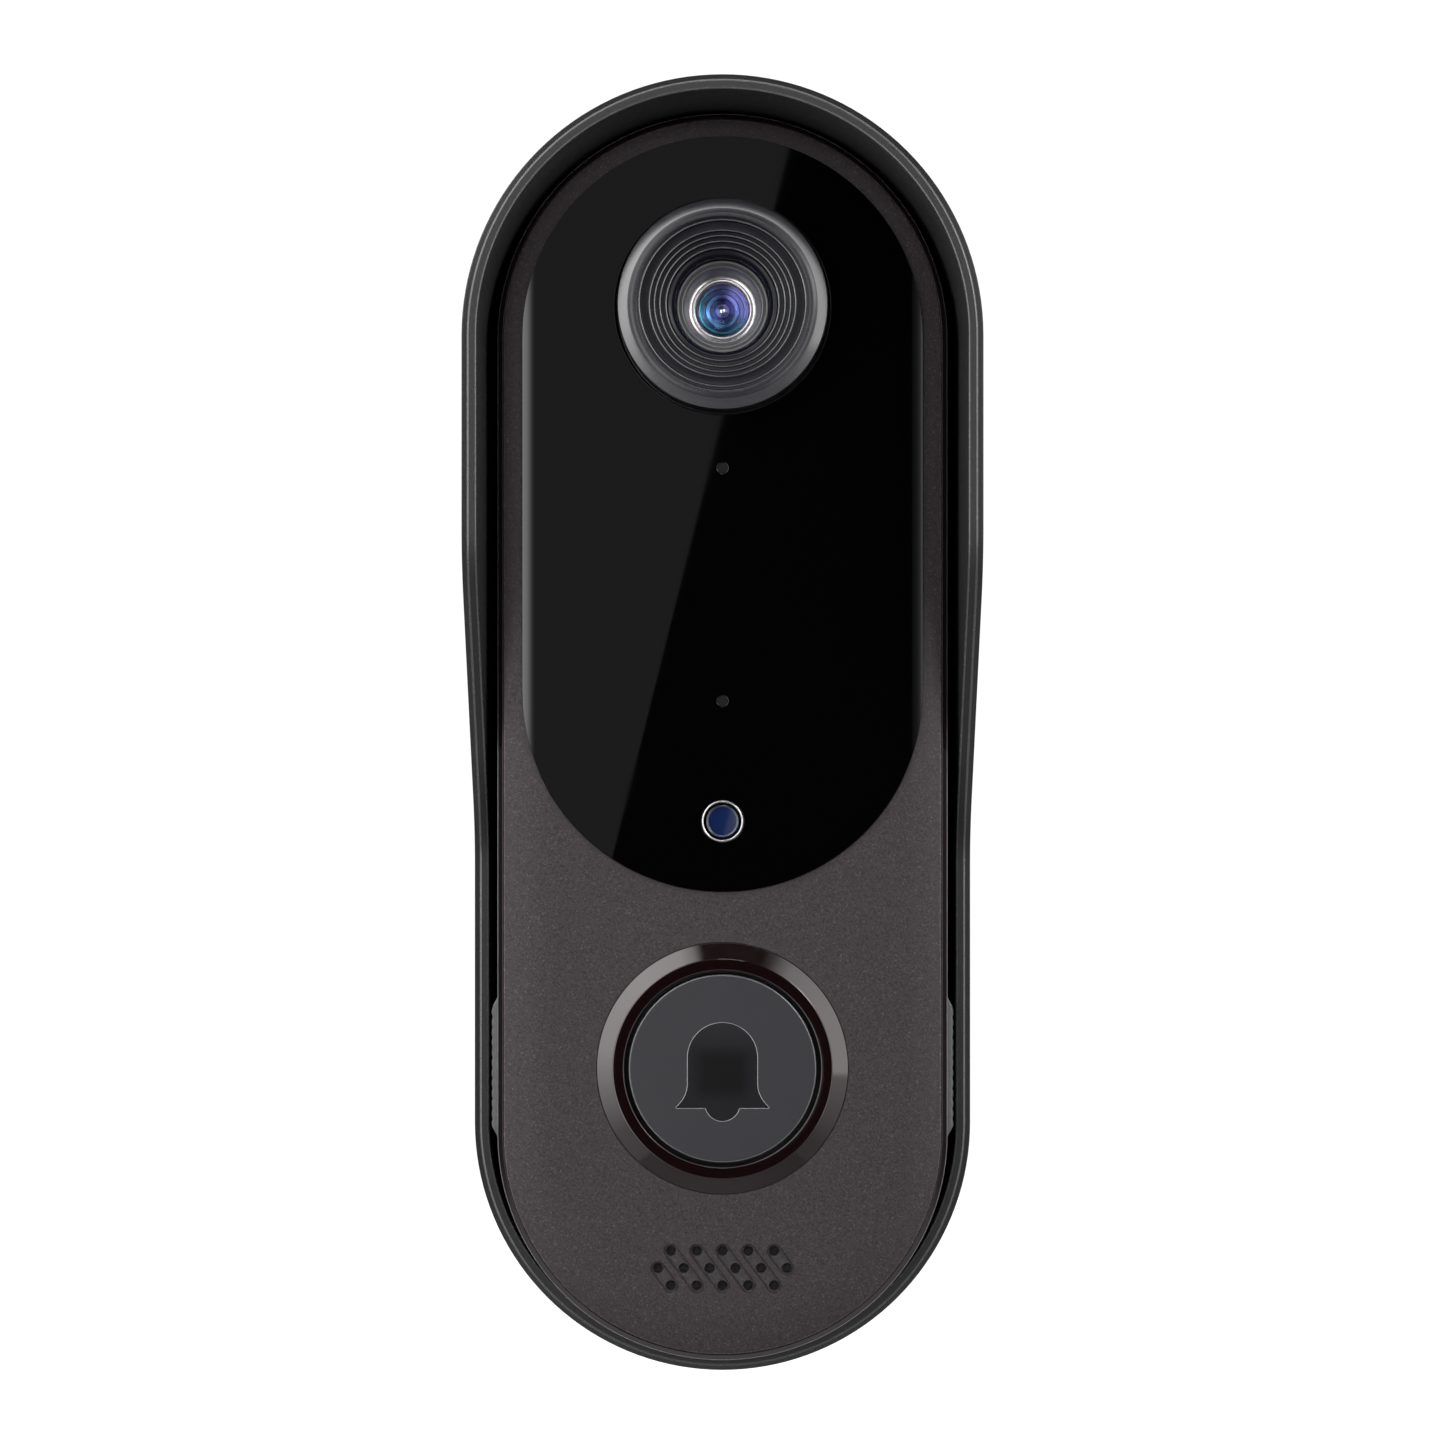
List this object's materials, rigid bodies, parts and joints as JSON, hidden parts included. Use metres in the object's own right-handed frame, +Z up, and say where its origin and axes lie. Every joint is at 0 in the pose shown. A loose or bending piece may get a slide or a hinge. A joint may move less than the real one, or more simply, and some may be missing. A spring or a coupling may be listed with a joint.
{
  "type": "video doorbell",
  "caption": "Battery video doorbell with a stadium-shaped front, camera above a round push button, in a wall-fixed rain hood that it pulls out of.",
  "frame": {"origin": "the centre of the two wall screw holes, on the wall plane", "axes": "+Z up the wall, +X to the right as a visitor sees it, and +Y into the wall, so the doorbell faces -Y"},
  "size_m": [0.0586, 0.046, 0.1487],
  "materials": {
    "hood_plastic": "black moulded plastic with a fine matte grain",
    "bracket_plastic": "dark moulded plastic",
    "housing_plastic": "dark grey moulded plastic",
    "grip_plastic": "grey soft-touch moulding",
    "gloss_trim": "gloss black with a red cast",
    "bronze_paint": "dark bronze metallic paint with fine flakes",
    "black_glass": "polished black panel that passes infrared light",
    "lens_glass": "coated optical glass",
    "bezel_plastic": "blue-grey satin plastic",
    "bright_metal": "polished",
    "status_blue": "translucent navy light guide",
    "button_plastic": "smoky satin plastic, slightly see-through",
    "seal_rubber": "black rubber",
    "screw_steel": "zinc-plated steel",
    "cell_wrap": "shrink-wrapped lithium cell",
    "contact_metal": "gold-plated spring contact",
    "circuit_board": "green solder mask",
    "chip_black": "black chip package",
    "shield_metal": "pressed tin-plated can",
    "led_resin": "clear and cream lamp resin",
    "ribbon_film": "amber polyimide film",
    "connector_nylon": "cream nylon",
    "speaker_paper": "pressed paper cone",
    "mesh_cloth": "fine black acoustic mesh",
    "key_plastic": "white nylon"
  },
  "bodies": {
    "wall_mount": {"rain_hood": "hood_plastic", "wall_bracket": "bracket_plastic"},
    "doorbell": {"rear_housing": "housing_plastic", "side_grips": "grip_plastic", "battery_door": "housing_plastic", "battery_door_seal": "seal_rubber", "battery_door_screws": "screw_steel", "battery_cells": "cell_wrap", "battery_contacts": "contact_metal", "housing_seal": "seal_rubber", "housing_screws": "screw_steel", "front_shell": "gloss_trim", "faceplate": "bronze_paint", "panel_tape": "seal_rubber", "lens_panel": "black_glass", "lens_bezel": "bezel_plastic", "bezel_gasket": "seal_rubber", "lens_barrel": "bezel_plastic", "lens_retaining_ring": "bright_metal", "front_lens": "lens_glass", "aperture_stop": "chip_black", "rear_lens": "lens_glass", "lens_holder": "chip_black", "image_sensor": "chip_black", "main_board": "circuit_board", "main_board_screws": "screw_steel", "processor": "chip_black", "wifi_module": "shield_metal", "wifi_antenna": "contact_metal", "led_ring_board": "circuit_board", "infrared_leds": "led_resin", "light_sensor": "chip_black", "microphone": "contact_metal", "microphone_boot": "seal_rubber", "status_light_ring": "bright_metal", "status_light_window": "status_blue", "status_led": "led_resin", "button_ring": "gloss_trim", "button_spring": "screw_steel", "tact_switch": "chip_black", "button_board": "circuit_board", "ribbon_cable": "ribbon_film", "ribbon_connectors": "connector_nylon", "speaker_mesh": "mesh_cloth", "speaker_gasket": "seal_rubber", "speaker_frame": "chip_black", "speaker_cone": "speaker_paper", "speaker_magnet": "shield_metal", "port_board": "circuit_board", "charging_port": "shield_metal", "reset_switch": "chip_black"},
    "button": {"button_cap": "button_plastic"},
    "plunger": {"switch_plunger": "key_plastic"},
    "cover": {"port_cover": "seal_rubber"},
    "reset": {"reset_key": "key_plastic"}
  },
  "joints": [
    {"name": "doorbell_pull_out", "type": "slide", "parent": "wall_mount", "child": "doorbell", "axis": [0, -1, 0], "range_m": [0, 0.05]},
    {"name": "button_press", "type": "slide", "parent": "doorbell", "child": "button", "axis": [0, 1, 0], "range_m": [0, 0.0004], "stiffness_N_per_m": 1500, "springref_m": -0.0005, "deforming": ["button_spring"]},
    {"name": "switch_press", "type": "slide", "parent": "doorbell", "child": "plunger", "axis": [0, 1, 0], "range_m": [0, 0.0004]},
    {"name": "port_cover_hinge", "type": "hinge", "parent": "doorbell", "child": "cover", "pos_m": [0, -0.0118, -0.071], "axis": [1, 0, 0], "range_deg": [0, 85], "stiffness_Nm_per_rad": 0.0008},
    {"name": "reset_press", "type": "slide", "parent": "doorbell", "child": "reset", "axis": [0, 0, 1], "range_m": [0, 0.0004], "stiffness_N_per_m": 200, "springref_m": -0.0002}
  ],
  "couplings": [
    {"joint": "switch_press", "follows": "button_press", "ratio": 1}
  ]
}
